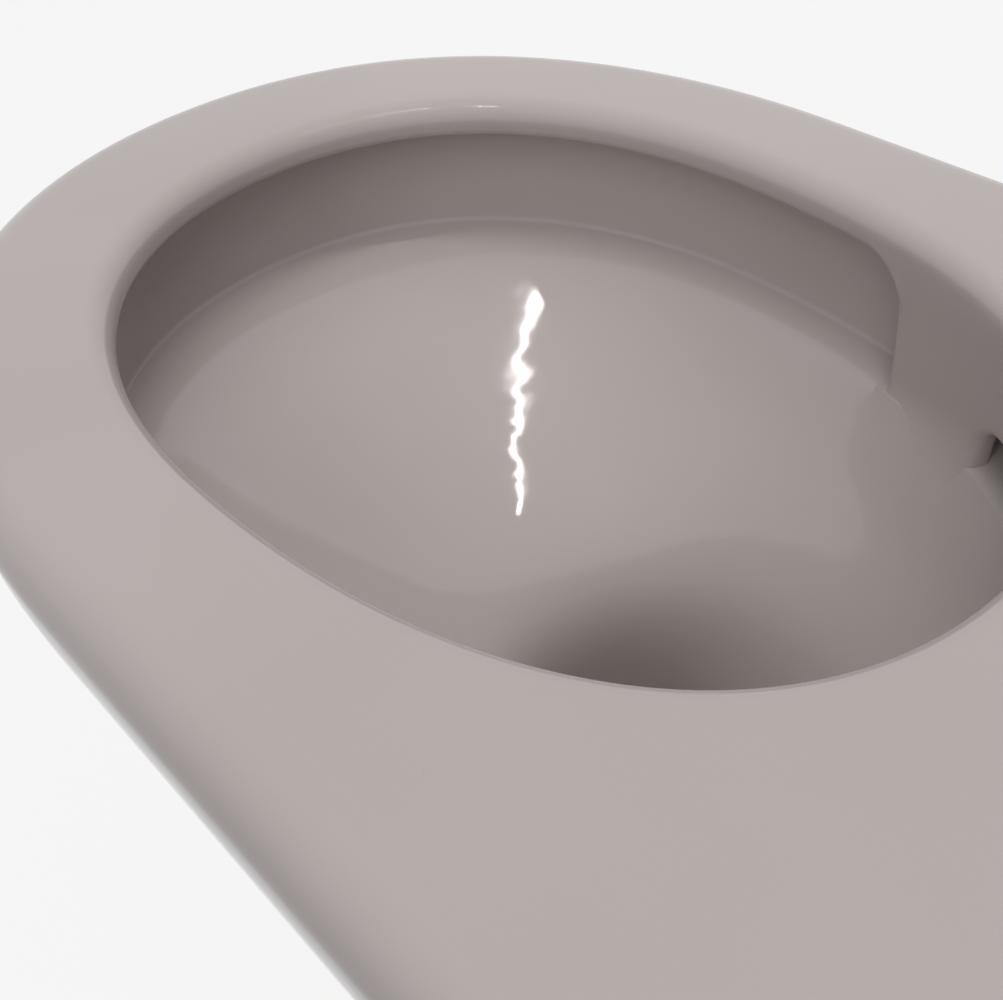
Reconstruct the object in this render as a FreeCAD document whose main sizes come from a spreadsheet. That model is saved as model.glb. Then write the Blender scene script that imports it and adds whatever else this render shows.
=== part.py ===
import FreeCAD, Part
import Sketcher
import math
import os

# Wall-hung rimless toilet pan with its wall fixings, flush inlet and waste outlet, in millimetres.
# The wall is the plane y = 0 and the front of the pan points to -Y. The origin lies on the wall,
# midway between the two wall studs.

doc = FreeCAD.newDocument("rimless_toilet")

# Driving dimensions

SIZES = {
    # Outside of the pan
    "pan_width": 360,
    "pan_length": 530,
    "pan_height": 350,
    "rim_above_studs": 90,
    "nose_length": 220,
    "nose_fullness": 0.593,
    "foot_width": 136,
    "foot_length": 296,
    "taper_power": 1.4,
    "rim_edge_radius": 16,
    "wall_thickness": 12,
    "deck_thickness": 18,
    # Opening, lip and open channel
    "opening_width": 247,
    "rim_front": 67,
    "deck_depth": 131,
    "opening_widest_share": 0.461,
    "bowl_front_fullness": 0.598,
    "bowl_back_fullness": 0.632,
    "lip_thickness": 14,
    "lip_top_radius": 9,
    "channel_undercut": 20,
    "channel_lean": 4,
    "channel_height": 49,
    "channel_top_radius": 9,
    "shelf_width": 15,
    "shelf_drop": 5,
    # Bowl and sump
    "slope_depth": 104,
    "slope_width": 194,
    "slope_setback": 8,
    "slope_length": 264,
    "throat_depth": 150,
    "throat_width": 112,
    "throat_setback": 44,
    "throat_length": 128,
    "sump_depth": 205,
    "sump_width": 88,
    "sump_setback": 81,
    "sump_length": 84,
    "floor_depth": 318,
    "floor_width": 74,
    "floor_setback": 96,
    "floor_length": 54,
    # Curtain of china that hangs over the flush chamber
    "curtain_thickness": 10,
    "curtain_end_behind_widest": 71,
    "curtain_corner_radius": 20,
    "window_behind_widest": 118,
    "window_height": 22,
    "window_corner_radius": 12,
    "chamber_width": 118,
    "chamber_depth": 40,
    "middle_outlet_width": 84,
    # Trap and waste outlet
    "trap_bore": 80,
    "trap_bend_radius": 54,
    "trap_start_from_wall": 262,
    "trap_turn_from_wall": 205,
    "trap_crest_from_wall": 118,
    "trap_crest_height": -60,
    "trap_drop_from_wall": 56,
    "spigot_diameter": 102,
    "spigot_from_wall": 20,
    "outlet_below_studs": 100,
    # Flush inlet
    "inlet_above_studs": 35,
    "inlet_bore": 55,
    "inlet_boss_diameter": 78,
    "inlet_from_wall": 12,
    # Hollow between the outside and the bowl
    "hollow_floor": 14,
    # Wall fixings
    "stud_spacing": 180,
    "flange_depth": 60,
    "stud_hole": 24,
    "notch_length": 78,
    "notch_height": 66,
    "notch_inner_half_width": 24,
    "notch_radius": 14,
    "thread_diameter": 12,
    "thread_pitch_diameter": 10.86,
    "stud_in_wall": 60,
    "stud_past_nut": 5,
    "stud_chamfer": 1.5,
    "sleeve_clearance": 0.2,
    "sleeve_bore": 13.6,
    "sleeve_length": 42,
    "sleeve_flange": 38,
    "sleeve_flange_thickness": 3,
    "washer_diameter": 26,
    "washer_bore": 13,
    "washer_thickness": 2.5,
    "nut_across_flats": 18,
    "nut_height": 10,
    "cap_diameter": 35,
    "cap_wall": 1.8,
    "cap_length": 25,
    "cap_edge_radius": 5,
    # Seat fixing holes in the deck
    "seat_hole": 15,
    "seat_hole_spacing": 155,
    "seat_hole_from_wall": 72,
    # Sound pad
    "pad_thickness": 4,
    "pad_top_gap": 6,
    "pad_hole_clearance": 1,
    # Flush pipe, seal and diffuser
    "inlet_pipe_diameter": 45,
    "inlet_pipe_wall": 2.5,
    "inlet_pipe_in_pan": 44,
    "inlet_pipe_in_wall": 60,
    "inlet_seal_length": 28,
    "inlet_seal_flange": 66,
    "inlet_seal_flange_thickness": 4,
    "seal_clearance": 0.2,
    "diffuser_length": 56,
    "diffuser_wall": 5,
    "diffuser_in_chamber": 20,
    "diffuser_window_height": 30,
    "diffuser_window_margin": 3,
    "ring_section": 3,
    "ring_from_back": 8,
    "pipe_collar": 0.8,
    "collar_from_wall": 1,
    # Waste connector and seal
    "outlet_pipe_diameter": 90,
    "outlet_pipe_wall": 3,
    "outlet_pipe_in_wall": 60,
    "outlet_bell_length": 20,
    "outlet_cone_length": 8,
    "outlet_bell_wall": 4,
    "outlet_seal_wall": 4,
    "outlet_seal_length": 18,
    "outlet_seal_lip": 3,
}

sheet = doc.addObject("Spreadsheet::Sheet", "sizes")
for row, (alias, value) in enumerate(SIZES.items(), start=1):
    sheet.set(f"A{row}", alias)
    sheet.set(f"B{row}", str(value))
    sheet.setAlias(f"B{row}", alias)
doc.recompute()


def size(alias):
    """One driving dimension, read from the sheet."""
    return float(sheet.get(alias))


# Places worked out from the driving dimensions

RIM = size("rim_above_studs")
FOOT = RIM - size("pan_height")
FULL_SIZE = RIM - size("rim_edge_radius")
BACK = -size("pad_thickness")
FRONT = BACK - size("pan_length")
OPENING_FRONT = FRONT + size("rim_front")
OPENING_BACK = BACK - size("deck_depth")
OPENING_HALF = size("opening_width") / 2
LIP_UNDER = RIM - size("lip_thickness")
SHELF = LIP_UNDER - size("channel_height")
MOUTH = SHELF - size("shelf_drop")
CHANNEL_FOOT_OFFSET = size("channel_undercut") - size("channel_lean")
MOUTH_OFFSET = CHANNEL_FOOT_OFFSET - size("shelf_width")
WIDEST = OPENING_FRONT + size("opening_widest_share") * (OPENING_BACK - OPENING_FRONT)
FLANGE_FRONT = BACK - size("flange_depth")
CHAMBER_FRONT = OPENING_BACK + size("curtain_thickness")
CHAMBER_BACK = CHAMBER_FRONT + size("chamber_depth")
INLET_HEIGHT = size("inlet_above_studs")
OUTLET_HEIGHT = -size("outlet_below_studs")
CHAMBER_FLOOR = INLET_HEIGHT - size("inlet_bore") / 2
CHAMBER_ROOF = RIM - size("deck_thickness")
SPIGOT_END = -size("spigot_from_wall")
INLET_END = -size("inlet_from_wall")
OVERCUT = 20


# Helpers for document objects

def feature(name, shape):
    """A document object that holds a shape made from the sheet's sizes."""
    item = doc.addObject("Part::Feature", name)
    item.Shape = shape
    return item


def loft(name, wires, ruled=False):
    """A solid through closed outlines."""
    item = doc.addObject("Part::Loft", name)
    item.Sections = [feature(f"{name}_outline", wire) for wire in wires]
    item.Solid = True
    item.Ruled = ruled
    doc.recompute()
    return item


def cut(name, base, tool):
    """One solid less another."""
    item = doc.addObject("Part::Cut", name)
    item.Base = base
    item.Tool = tool
    doc.recompute()
    return item


def fuse(name, items):
    """Several solids as one."""
    item = doc.addObject("Part::MultiFuse", name)
    item.Shapes = items
    doc.recompute()
    return item


def common(name, items):
    """What several solids share."""
    item = doc.addObject("Part::MultiCommon", name)
    item.Shapes = items
    doc.recompute()
    return item


def rounded(name, base, picks):
    """A base with some edges rounded: picks are (test of an edge, radius)."""
    item = doc.addObject("Part::Fillet", name)
    item.Base = base
    edges = []
    for number, edge in enumerate(base.Shape.Edges, start=1):
        for test, radius in picks:
            if test(edge):
                edges.append((number, radius, radius))
    item.Edges = edges
    doc.recompute()
    return item


def box(name, low, high):
    """A block between two corners."""
    item = doc.addObject("Part::Box", name)
    item.Length = high[0] - low[0]
    item.Width = high[1] - low[1]
    item.Height = high[2] - low[2]
    item.Placement.Base = FreeCAD.Vector(*low)
    return item


def cylinder_along_y(name, radius, x, z, y_low, y_high):
    """A round bar along Y, its radius bound to the sheet by an expression."""
    item = doc.addObject("Part::Cylinder", name)
    item.setExpression("Radius", radius)
    item.Height = y_high - y_low
    turn = FreeCAD.Rotation(FreeCAD.Vector(1, 0, 0), -90)
    item.Placement = FreeCAD.Placement(FreeCAD.Vector(x, y_low, z), turn)
    return item


def flat_at(height):
    """A test for edges that lie in one horizontal plane."""
    return lambda edge: abs(edge.BoundBox.ZMin - height) < 1e-3 and abs(edge.BoundBox.ZMax - height) < 1e-3


# Outlines

def quarter(corner, end, across, along):
    """A quarter of an oval from corner to end, as one cubic curve with the two handles given."""
    curve = Part.BezierCurve()
    curve.setPoles([corner, across, along, end])
    return curve.toShape()


def egg(height, half_width, front, back):
    """A closed oval with its own fullness ahead of and behind its widest line."""
    widest = front + size("opening_widest_share") * (back - front)
    edges = []
    for sign, tip, full in (
        (1, front, size("bowl_front_fullness")),
        (-1, front, size("bowl_front_fullness")),
        (-1, back, size("bowl_back_fullness")),
        (1, back, size("bowl_back_fullness")),
    ):
        side = FreeCAD.Vector(sign * half_width, widest, height)
        point = FreeCAD.Vector(0, tip, height)
        side_handle = side + FreeCAD.Vector(0, full * (tip - widest), 0)
        tip_handle = point + FreeCAD.Vector(sign * full * half_width, 0, 0)
        if (sign > 0) == (tip == front):
            edges.append(quarter(side, point, side_handle, tip_handle))
        else:
            edges.append(quarter(point, side, tip_handle, side_handle))
    return Part.Wire(edges)


def opening(height, offset):
    """The outline of the opening, grown by an offset."""
    return egg(height, OPENING_HALF + offset, OPENING_FRONT - offset, OPENING_BACK + offset)


def bowl_ring(name, grow):
    """An outline of the bowl below its mouth: its depth, width, length and setback are named sizes."""
    back = OPENING_BACK - size(f"{name}_setback")
    front = back - size(f"{name}_length")
    half = size(f"{name}_width") / 2
    return egg(RIM - size(f"{name}_depth") - grow, half + grow, front - grow, back + grow)


def tongue(height, half_width, reach, nose, back):
    """A straight-sided outline from a back line to a rounded nose."""
    full = size("nose_fullness")
    shoulder = -(reach - nose)
    tip = FreeCAD.Vector(0, -reach, height)
    edges = []
    for sign in (1, -1):
        side = FreeCAD.Vector(sign * half_width, shoulder, height)
        corner = FreeCAD.Vector(sign * half_width, back, height)
        side_handle = side - FreeCAD.Vector(0, full * nose, 0)
        tip_handle = tip + FreeCAD.Vector(sign * full * half_width, 0, 0)
        if sign > 0:
            edges.append(Part.makeLine(corner, side))
            edges.append(quarter(side, tip, side_handle, tip_handle))
        else:
            edges.append(quarter(tip, side, tip_handle, side_handle))
            edges.append(Part.makeLine(side, corner))
    edges.append(Part.makeLine(edges[-1].Vertexes[-1].Point, edges[0].Vertexes[0].Point))
    return Part.Wire(edges)


# Outside form of the pan

BODY_LEVELS = 9


def taper(height):
    """How much of the rim's size the body has at a height: 0 at the foot, 1 below the rim's edge."""
    rise = min(1.0, max(0.0, (height - FOOT) / (FULL_SIZE - FOOT)))
    return (1 - math.cos(math.pi * rise ** size("taper_power"))) / 2


def body_half_width(height):
    """Half the body's width at a height."""
    foot = size("foot_width") / 2
    return foot + (size("pan_width") / 2 - foot) * taper(height)


def body_outline(height, inset, back):
    """The body's outline at a height, drawn in by an inset and run back to a line behind the wall."""
    half = body_half_width(height)
    foot = size("foot_length")
    reach = foot + (size("pan_length") - foot) * taper(height) - BACK
    nose = size("nose_length") * 2 * half / size("pan_width")
    return tongue(height, half - inset, reach - inset, nose - inset, back)


levels = [FOOT + (FULL_SIZE - FOOT) * step / (BODY_LEVELS - 1) for step in range(BODY_LEVELS)]
body = loft("body", [body_outline(level, 0, OVERCUT) for level in levels + [RIM]])


def is_outer_rim(edge):
    """True for the rim's outer edge, without the edge along the wall."""
    return flat_at(RIM)(edge) and edge.BoundBox.YMin < BACK - 1


rounded_body = rounded("rounded_body", body, [(is_outer_rim, size("rim_edge_radius"))])
wall_slab = box(
    "wall_slab",
    (-size("pan_width"), BACK, FOOT - OVERCUT),
    (size("pan_width"), 2 * OVERCUT, RIM + OVERCUT),
)
blank = cut("blank", rounded_body, wall_slab)


# Bowl, channel and curtain

def bowl_solids(tag, grow):
    """The space of the channel, shelf and bowl, grown by a wall thickness for the china behind it."""
    channel = loft(f"channel{tag}", [
        opening(LIP_UNDER + grow, size("channel_undercut") + grow),
        opening(SHELF, CHANNEL_FOOT_OFFSET + grow),
    ], ruled=True)
    shelf = loft(f"shelf{tag}", [
        opening(SHELF, CHANNEL_FOOT_OFFSET + grow),
        opening(MOUTH, MOUTH_OFFSET + grow),
    ], ruled=True)
    bowl = loft(f"bowl{tag}", [opening(MOUTH, MOUTH_OFFSET + grow)] + [
        bowl_ring(name, grow) for name in ("slope", "throat", "sump")
    ])
    well = loft(f"well{tag}", [bowl_ring(name, grow) for name in ("sump", "floor")], ruled=True)
    return channel, shelf, bowl, well


channel, shelf, bowl, well = bowl_solids("", 0)
channel_space = rounded("channel_space", channel, [(flat_at(LIP_UNDER), size("channel_top_radius"))])
floor_height = RIM - size("floor_depth")
mouth_cut = loft("mouth_cut", [
    opening(SHELF, 0),
    opening(RIM + OVERCUT, 0),
], ruled=True)

curtain_ring = cut("curtain_ring", loft("curtain_outer", [
    opening(MOUTH - OVERCUT, size("curtain_thickness")),
    opening(RIM, size("curtain_thickness")),
], ruled=True), loft("curtain_inner", [
    opening(MOUTH - 2 * OVERCUT, 0),
    opening(RIM + OVERCUT, 0),
], ruled=True))


def curtain_side_face():
    """The curtain from the side: a rounded corner under the lip at its end, a window in the middle."""
    end = WIDEST + size("curtain_end_behind_widest")
    window = WIDEST + size("window_behind_widest")
    corner = size("curtain_corner_radius")
    arch = size("window_corner_radius")
    low = MOUTH - OVERCUT
    sill = MOUTH + size("window_height")
    far = OPENING_BACK + 2 * OVERCUT
    x = -size("pan_width")
    bend = math.sqrt(0.5)

    def at(y, z):
        return FreeCAD.Vector(x, y, z)

    lip_end = at(end - corner, LIP_UNDER)
    lip_mid = at(end - corner + corner * bend, LIP_UNDER - corner + corner * bend)
    edge_top = at(end, LIP_UNDER - corner)
    arch_foot = at(window, sill - arch)
    arch_mid = at(window + arch - arch * bend, sill - arch + arch * bend)
    arch_top = at(window + arch, sill)
    loop = [
        Part.makeLine(at(far, RIM), at(end - corner, RIM)),
        Part.makeLine(at(end - corner, RIM), lip_end),
        Part.Arc(lip_end, lip_mid, edge_top).toShape(),
        Part.makeLine(edge_top, at(end, low)),
        Part.makeLine(at(end, low), at(window, low)),
        Part.makeLine(at(window, low), arch_foot),
        Part.Arc(arch_foot, arch_mid, arch_top).toShape(),
        Part.makeLine(arch_top, at(far, sill)),
        Part.makeLine(at(far, sill), at(far, RIM)),
    ]
    return Part.Face(Part.Wire(loop))


across = FreeCAD.Vector(2 * size("pan_width"), 0, 0)
curtain_side = feature("curtain_side", curtain_side_face().extrude(across))
curtain = common("curtain", [curtain_ring, curtain_side])
channel_open = cut("channel_open", fuse("channel_and_shelf", [channel_space, shelf]), curtain)

# Flush chamber and inlet

half_chamber = size("chamber_width") / 2
chamber = box(
    "chamber",
    (-half_chamber, CHAMBER_FRONT, CHAMBER_FLOOR),
    (half_chamber, CHAMBER_BACK, CHAMBER_ROOF),
)
half_middle = size("middle_outlet_width") / 2
middle_outlet = box(
    "middle_outlet",
    (-half_middle, OPENING_BACK - OVERCUT, CHAMBER_FLOOR),
    (half_middle, CHAMBER_FRONT + OVERCUT / 2, MOUTH + size("window_height")),
)
inlet_bore = cylinder_along_y(
    "inlet_bore_space", "sizes.inlet_bore / 2", 0, INLET_HEIGHT, CHAMBER_BACK - OVERCUT, OVERCUT,
)
inlet_boss = cylinder_along_y(
    "inlet_boss", "sizes.inlet_boss_diameter / 2", 0, INLET_HEIGHT, CHAMBER_BACK, INLET_END,
)

# Trap


def trap_path():
    """The trap's centre line: in from the sump, up over the crest and down to the spigot."""
    entry = floor_height + size("trap_bore") / 2
    corners = [
        FreeCAD.Vector(0, -size("trap_start_from_wall"), entry),
        FreeCAD.Vector(0, -size("trap_turn_from_wall"), entry),
        FreeCAD.Vector(0, -size("trap_crest_from_wall"), size("trap_crest_height")),
        FreeCAD.Vector(0, -size("trap_drop_from_wall"), OUTLET_HEIGHT),
        FreeCAD.Vector(0, SPIGOT_END, OUTLET_HEIGHT),
    ]
    edges = []
    start = corners[0]
    for before, corner, after in zip(corners, corners[1:], corners[2:]):
        into = (corner - before).normalize()
        away = (after - corner).normalize()
        half_turn = into.getAngle(away) / 2
        tangent = size("trap_bend_radius") * math.tan(half_turn)
        first = corner - into * tangent
        last = corner + away * tangent
        inward = (away - into).normalize()
        depth = size("trap_bend_radius") * (1 / math.cos(half_turn) - 1)
        edges.append(Part.makeLine(start, first))
        edges.append(Part.Arc(first, corner + inward * depth, last).toShape())
        start = last
    edges.append(Part.makeLine(start, corners[-1]))
    return Part.Wire(edges)


def trap_tube(name, diameter):
    """A round tube's space along the trap's centre line."""
    path = trap_path()
    start = path.Vertexes[0].Point
    ring = Part.Wire(Part.makeCircle(diameter / 2, start, FreeCAD.Vector(0, 1, 0)))
    return feature(name, path.makePipeShell([ring], True, False))


trap_space = trap_tube("trap_space", size("trap_bore"))
trap_skin = trap_tube("trap_skin", size("spigot_diameter"))

# Notches for the wall nuts


def notch_solid(name, side, grow):
    """The notch in the pan's side round a stud, grown by a wall thickness for the china around it."""
    inner = size("stud_spacing") / 2 - size("notch_inner_half_width") - grow
    half_height = size("notch_height") / 2 + grow
    front = FLANGE_FRONT - size("notch_length") - grow
    back = FLANGE_FRONT if grow == 0 else OVERCUT
    x_low, x_high = sorted((side * inner, side * size("pan_width")))
    block = box(name, (x_low, front, -half_height), (x_high, back, half_height))
    doc.recompute()

    def is_inner_corner(edge):
        bounds = edge.BoundBox
        upright_faces = bounds.YLength < 1e-3 and abs(bounds.YMin - front) < 1e-3
        return upright_faces and bounds.ZLength < 1e-3

    return rounded(f"{name}_rounded", block, [(is_inner_corner, size("notch_radius") + grow)])


notches = []
notch_skins = []
stud_holes = []
for side_name, side in (("left", -1), ("right", 1)):
    notches.append(notch_solid(f"{side_name}_notch", side, 0))
    notch_skins.append(notch_solid(f"{side_name}_notch_skin", side, size("wall_thickness")))
    x = side * size("stud_spacing") / 2
    stud_holes.append(cylinder_along_y(
        f"{side_name}_stud_hole", "sizes.stud_hole / 2", x, 0, FLANGE_FRONT - OVERCUT, OVERCUT,
    ))

# Hollow between the outside and the bowl

hollow_low = FOOT + size("hollow_floor")
hollow_steps = [
    hollow_low + (CHAMBER_ROOF - hollow_low) * step / (BODY_LEVELS - 1) for step in range(BODY_LEVELS)
]
hollow_block = loft("hollow_block", [
    body_outline(level, size("wall_thickness"), OVERCUT) for level in hollow_steps
])
skins = list(bowl_solids("_skin", size("wall_thickness")))
grown = size("wall_thickness")
skins.append(box(
    "chamber_skin",
    (-half_chamber - grown, CHAMBER_FRONT, CHAMBER_FLOOR - grown),
    (half_chamber + grown, CHAMBER_BACK + grown, RIM),
))
hollow = cut("hollow", hollow_block, fuse("skins", skins + [trap_skin, inlet_boss] + notch_skins))

# Seat fixing holes

seat_holes = []
for side in (-1, 1):
    hole = doc.addObject("Part::Cylinder", "seat_hole_space")
    hole.setExpression("Radius", "sizes.seat_hole / 2")
    hole.Height = size("deck_thickness") + 2 * OVERCUT
    hole.Placement.Base = FreeCAD.Vector(
        side * size("seat_hole_spacing") / 2, -size("seat_hole_from_wall"), CHAMBER_ROOF - OVERCUT,
    )
    seat_holes.append(hole)

spaces = fuse("spaces", [
    mouth_cut, channel_open, bowl, well, chamber, middle_outlet, inlet_bore, trap_space,
    hollow, *notches, *stud_holes, *seat_holes,
])
pan_cut = cut("pan_cut", blank, spaces)


def is_lip_top(edge):
    """True for the opening's edge on the rim's flat top."""
    bounds = edge.BoundBox
    inside = bounds.XLength <= size("opening_width") and bounds.YMax <= OPENING_BACK + 1e-3
    return flat_at(RIM)(edge) and inside and bounds.XLength > size("seat_hole") + 1


pan = rounded("pan", pan_cut, [(is_lip_top, size("lip_top_radius"))])
pan.Label = "pan"

# Turned pieces


def value_of(expression):
    """The value of an expression in the sheet's aliases."""
    return float(sheet.evalExpression(expression.replace("sizes.", "")))


def turned(label, points, place):
    """A piece turned about its own Y axis: points are (radius, distance along the axis) expressions."""
    item = doc.addObject("PartDesign::Body", label)
    profile = item.newObject("Sketcher::SketchObject", f"{label}_profile")
    plane = next(part for part in item.Origin.OriginFeatures if part.Role == "XY_Plane")
    profile.AttachmentSupport = [(plane, "")]
    profile.MapMode = "FlatFace"
    corners = [FreeCAD.Vector(value_of(radius), value_of(along), 0) for radius, along in points]
    count = len(points)
    for index in range(count):
        profile.addGeometry(Part.LineSegment(corners[index], corners[(index + 1) % count]), False)
    for index in range(count):
        profile.addConstraint(Sketcher.Constraint("Coincident", index, 2, (index + 1) % count, 1))
    for index, (radius, along) in enumerate(points):
        for kind, axis, expression in (("DistanceX", -2, radius), ("DistanceY", -1, along)):
            value = value_of(expression)
            if value == 0:
                profile.addConstraint(Sketcher.Constraint("PointOnObject", index, 1, axis))
                continue
            number = profile.addConstraint(Sketcher.Constraint(kind, -1, 1, index, 1, value))
            profile.setExpression(f"Constraints[{number}]", expression)
    turn = item.newObject("PartDesign::Revolution", f"{label}_turn")
    turn.Profile = profile
    turn.ReferenceAxis = (profile, ["V_Axis"])
    turn.Angle = 360
    item.Placement.Base = FreeCAD.Vector(*place)
    doc.recompute()
    return item


def expression(text):
    """An expression in plain aliases, with each alias read from the sheet."""
    words = []
    for word in text.split():
        words.append(f"sizes.{word}" if word in SIZES else word)
    return " ".join(words)


def rows(*pairs):
    """Profile points with plain aliases."""
    return [(expression(radius), expression(along)) for radius, along in pairs]


STUD_INSIDE = (
    "pad_thickness + flange_depth + sleeve_flange_thickness + washer_thickness + nut_height + stud_past_nut"
)
THREAD = "thread_diameter / 2"
SHANK = "thread_pitch_diameter / 2"
stud_profile = rows(
    ("0", "0"),
    (f"{SHANK} - stud_chamfer", "0"),
    (SHANK, "stud_chamfer"),
    (SHANK, STUD_INSIDE),
    (THREAD, STUD_INSIDE),
    (THREAD, f"{STUD_INSIDE} + stud_in_wall - stud_chamfer"),
    (f"{THREAD} - stud_chamfer", f"{STUD_INSIDE} + stud_in_wall"),
    ("0", f"{STUD_INSIDE} + stud_in_wall"),
)
SLEEVE_OUT = "stud_hole / 2 - sleeve_clearance"
sleeve_profile = rows(
    ("sleeve_bore / 2", "0"),
    ("sleeve_flange / 2", "0"),
    ("sleeve_flange / 2", "sleeve_flange_thickness"),
    (SLEEVE_OUT, "sleeve_flange_thickness"),
    (SLEEVE_OUT, "sleeve_flange_thickness + sleeve_length"),
    ("sleeve_bore / 2", "sleeve_flange_thickness + sleeve_length"),
)
washer_profile = rows(
    ("washer_bore / 2", "0"),
    ("washer_diameter / 2", "0"),
    ("washer_diameter / 2", "washer_thickness"),
    ("washer_bore / 2", "washer_thickness"),
)
cap_profile = rows(
    ("0", "0"),
    ("cap_diameter / 2", "0"),
    ("cap_diameter / 2", "cap_length"),
    ("cap_diameter / 2 - cap_wall", "cap_length"),
    ("cap_diameter / 2 - cap_wall", "cap_wall"),
    ("0", "cap_wall"),
)

# Wall fixings, one set on each side


def hex_nut(label, place):
    """A hexagon nut with its corners chamfered at both ends, bored to meet the stud."""
    corner = "sizes.nut_across_flats / 2 / cos(30)"
    prism = doc.addObject("Part::Prism", f"{label}_prism")
    prism.Polygon = 6
    prism.setExpression("Circumradius", corner)
    prism.setExpression("Height", "sizes.nut_height")
    round_bar = doc.addObject("Part::Cylinder", f"{label}_bar")
    round_bar.setExpression("Radius", corner)
    round_bar.setExpression("Height", "sizes.nut_height")
    doc.recompute()
    chamfer = doc.addObject("Part::Chamfer", f"{label}_chamfer")
    chamfer.Base = round_bar
    inset = size("nut_across_flats") / 2 / math.cos(math.radians(30)) - size("nut_across_flats") / 2
    circles = [
        number for number, edge in enumerate(round_bar.Shape.Edges, start=1)
        if isinstance(edge.Curve, Part.Circle)
    ]
    chamfer.Edges = [(number, inset, inset) for number in circles]
    bore = doc.addObject("Part::Cylinder", f"{label}_bore")
    bore.setExpression("Radius", "sizes.thread_pitch_diameter / 2")
    bore.setExpression("Height", "sizes.nut_height")
    item = cut(label, common(f"{label}_blank", [prism, chamfer]), bore)
    turn = FreeCAD.Rotation(FreeCAD.Vector(1, 0, 0), -90)
    item.Placement = FreeCAD.Placement(FreeCAD.Vector(*place), turn)
    return item


sub_parts = [pan]
for side_name, side in (("left", -1), ("right", 1)):
    x = side * size("stud_spacing") / 2
    y = FLANGE_FRONT - size("sleeve_flange_thickness")
    sub_parts.append(turned(f"{side_name}_sleeve", sleeve_profile, (x, y, 0)))
    cap = turned(f"{side_name}_cap", cap_profile, (x, y - size("cap_length"), 0))
    cup = cap.Tip
    closed_end = cup.Shape.BoundBox.YMin + 1e-3
    outer_edges = [
        f"Edge{number}" for number, edge in enumerate(cup.Shape.Edges, start=1)
        if isinstance(edge.Curve, Part.Circle) and edge.BoundBox.YMax < closed_end
    ]
    dome = cap.newObject("PartDesign::Fillet", f"{side_name}_cap_dome")
    dome.Base = (cup, outer_edges)
    dome.setExpression("Radius", "sizes.cap_edge_radius")
    sub_parts.append(cap)
    y -= size("washer_thickness")
    sub_parts.append(turned(f"{side_name}_washer", washer_profile, (x, y, 0)))
    y -= size("nut_height")
    sub_parts.append(hex_nut(f"{side_name}_nut", (x, y, 0)))
    y -= size("stud_past_nut")
    sub_parts.append(turned(f"{side_name}_stud", stud_profile, (x, y, 0)))

# Flush pipe, its seal and the diffuser

pipe_radius = "inlet_pipe_diameter / 2"
pipe_length = "inlet_pipe_in_pan + inlet_pipe_in_wall"
collar_start = "inlet_pipe_in_pan - inlet_from_wall + inlet_seal_flange_thickness"
collar_end = "inlet_pipe_in_pan - collar_from_wall"
sub_parts.append(turned("inlet_pipe", rows(
    (f"{pipe_radius} - inlet_pipe_wall", "0"),
    (pipe_radius, "0"),
    (pipe_radius, collar_start),
    (f"{pipe_radius} + pipe_collar", collar_start),
    (f"{pipe_radius} + pipe_collar", collar_end),
    (pipe_radius, collar_end),
    (pipe_radius, pipe_length),
    (f"{pipe_radius} - inlet_pipe_wall", pipe_length),
), (0, -size("inlet_pipe_in_pan"), INLET_HEIGHT)))

seal_in = "inlet_pipe_diameter / 2 + seal_clearance"
seal_out = "inlet_bore / 2 - seal_clearance"
seal_end = "inlet_seal_length + inlet_seal_flange_thickness"
sub_parts.append(turned("inlet_seal", rows(
    (seal_in, "0"),
    (seal_out, "0"),
    (seal_out, "inlet_seal_length"),
    ("inlet_seal_flange / 2", "inlet_seal_length"),
    ("inlet_seal_flange / 2", seal_end),
    (seal_in, seal_end),
), (0, INLET_END - size("inlet_seal_length"), INLET_HEIGHT)))

diffuser_out = "inlet_bore / 2 - seal_clearance"
diffuser_in = "inlet_bore / 2 - seal_clearance - diffuser_wall"
groove_low = "diffuser_length - ring_from_back - ring_section"
groove_high = "diffuser_length - ring_from_back"
groove_floor = "inlet_bore / 2 - 2 * seal_clearance - ring_section"
diffuser_front = CHAMBER_BACK - size("diffuser_in_chamber")
diffuser_cup = turned("diffuser_cup", rows(
    ("0", "0"),
    (diffuser_out, "0"),
    (diffuser_out, groove_low),
    (groove_floor, groove_low),
    (groove_floor, groove_high),
    (diffuser_out, groove_high),
    (diffuser_out, "diffuser_length"),
    (diffuser_in, "diffuser_length"),
    (diffuser_in, "diffuser_wall"),
    ("0", "diffuser_wall"),
), (0, diffuser_front, INLET_HEIGHT))
half_window = size("diffuser_window_height") / 2
window_front = diffuser_front + size("diffuser_wall")
side_window = box(
    "side_window",
    (-size("inlet_bore"), window_front, INLET_HEIGHT - half_window),
    (size("inlet_bore"), CHAMBER_BACK - size("diffuser_window_margin"), INLET_HEIGHT + half_window),
)
sub_parts.append(cut("flush_diffuser", diffuser_cup, side_window))

ring = doc.addObject("Part::Torus", "diffuser_ring")
ring.setExpression("Radius1", "sizes.inlet_bore / 2 - sizes.seal_clearance - sizes.ring_section / 2")
ring.setExpression("Radius2", "sizes.ring_section / 2")
ring_place = diffuser_front + value_of(expression(groove_low)) + size("ring_section") / 2
ring.Placement = FreeCAD.Placement(
    FreeCAD.Vector(0, ring_place, INLET_HEIGHT), FreeCAD.Rotation(FreeCAD.Vector(1, 0, 0), -90),
)
sub_parts.append(ring)

# Waste connector and its seal

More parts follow.
